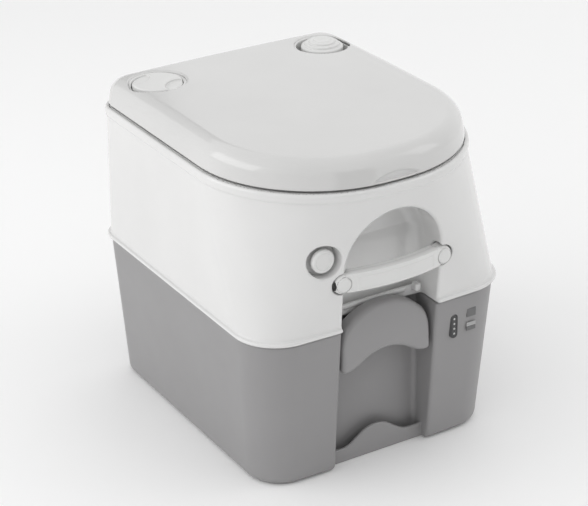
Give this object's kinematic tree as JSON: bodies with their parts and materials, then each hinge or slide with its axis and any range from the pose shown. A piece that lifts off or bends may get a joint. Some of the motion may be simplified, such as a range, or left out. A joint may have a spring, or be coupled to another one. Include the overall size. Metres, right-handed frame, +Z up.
{
  "type": "portable flushing toilet",
  "caption": "Two-piece portable flushing toilet: a lidded white seat unit with a bowl, pump and carrying strap lifts off a grey holding tank with a slide valve.",
  "frame": {"origin": "centre of the bounding box's bottom face, on the floor under the toilet", "axes": "+Z up, -Y towards the user's front where the strap and the valve grip are, +X to the right when looking along +Y"},
  "size_m": [0.33, 0.3908, 0.384],
  "materials": {
    "white_shell": "smooth gloss",
    "white_lid": "smooth gloss",
    "white_fittings": "satin",
    "white_bowl": "smooth gloss",
    "grey_tank": "fine satin",
    "grey_fittings": "fine satin",
    "dark_trim": "satin",
    "black_rubber": "matt",
    "inner_plastic": "satin",
    "spring_steel": "drawn wire",
    "pin_steel": "turned"
  },
  "bodies": {
    "waste_tank": {"tank_shell": "grey_tank", "gauge_lens": "dark_trim", "blank_labels": "dark_trim", "gauge_bracket": "grey_fittings", "valve_housing": "grey_fittings", "valve_seal_upper": "black_rubber", "valve_seal_lower": "black_rubber", "outlet_seal": "black_rubber", "rest_pads": "black_rubber", "vent_spring": "spring_steel"},
    "valve": {"valve_blade": "grey_fittings", "valve_grip": "grey_fittings"},
    "spout": {"pour_spout": "grey_fittings"},
    "spout_cap": {"spout_cap": "dark_trim", "spout_cap_seal": "black_rubber"},
    "vent": {"vent_button": "dark_trim"},
    "level_float": {"float_arm": "inner_plastic", "gauge_float": "inner_plastic"},
    "upper_unit": {"upper_casing": "white_shell", "deck_bowl": "white_bowl", "water_tank_floor": "white_fittings", "filler_neck": "white_fittings", "pump_barrel": "inner_plastic", "flush_valve": "inner_plastic", "spray_nozzle": "white_fittings", "hinge_pins": "pin_steel", "button_spring": "spring_steel"},
    "handle": {"carry_handle": "white_fittings"},
    "button": {"flush_button": "white_fittings"},
    "water_cap": {"filler_cap": "white_fittings", "filler_seal": "black_rubber"},
    "pump": {"pump_knob": "white_fittings", "pump_rod": "pin_steel", "pump_piston": "inner_plastic", "piston_ring": "black_rubber"},
    "seat": {"seat": "white_fittings", "seat_bumpers": "black_rubber"},
    "lid": {"lid": "white_lid", "lid_bumpers": "black_rubber"}
  },
  "joints": [
    {"name": "valve_slide", "type": "slide", "parent": "waste_tank", "child": "valve", "axis": [0, -1, 0], "range_m": [0, 0.082]},
    {"name": "spout_swing", "type": "hinge", "parent": "waste_tank", "child": "spout", "pos_m": [0.085, 0.165, 0.15], "axis": [0, 0, -1], "range_deg": [0, 95]},
    {"name": "spout_cap_turn", "type": "hinge", "parent": "spout", "child": "spout_cap", "pos_m": [-0.055, 0.165, 0.15], "axis": [-1, 0, 0], "range_deg": [0, 270]},
    {"name": "vent_press", "type": "slide", "parent": "waste_tank", "child": "vent", "axis": [0, 0, -1], "range_m": [0, 0.004], "stiffness_N_per_m": 250, "springref_m": -0.003, "deforming": ["vent_spring"]},
    {"name": "float_swing", "type": "hinge", "parent": "waste_tank", "child": "level_float", "pos_m": [0.0865, -0.158, 0.118], "axis": [1, 0, 0], "range_deg": [0, 65]},
    {"name": "lift_off", "type": "slide", "parent": "waste_tank", "child": "upper_unit", "axis": [0, 0, 1], "range_m": [0, 0.2]},
    {"name": "handle_turn", "type": "hinge", "parent": "upper_unit", "child": "handle", "pos_m": [0, -0.178, 0.242], "axis": [-1, 0, 0], "range_deg": [0, 45]},
    {"name": "flush_press", "type": "slide", "parent": "upper_unit", "child": "button", "axis": [0, 1, 0], "range_m": [0, 0.004], "stiffness_N_per_m": 250, "springref_m": -0.003, "deforming": ["button_spring"]},
    {"name": "water_cap_turn", "type": "hinge", "parent": "upper_unit", "child": "water_cap", "pos_m": [-0.1095, 0.1315, 0.37], "axis": [0, 0, 1], "range_deg": [0, 90]},
    {"name": "pump_stroke", "type": "slide", "parent": "upper_unit", "child": "pump", "axis": [0, 0, 1], "range_m": [0, 0.06]},
    {"name": "seat_hinge", "type": "hinge", "parent": "upper_unit", "child": "seat", "pos_m": [0, 0.188, 0.365], "axis": [-1, 0, 0], "range_deg": [0, 93]},
    {"name": "lid_hinge", "type": "hinge", "parent": "seat", "child": "lid", "pos_m": [0, 0.188, 0.365], "axis": [-1, 0, 0], "range_deg": [0, 95]}
  ]
}
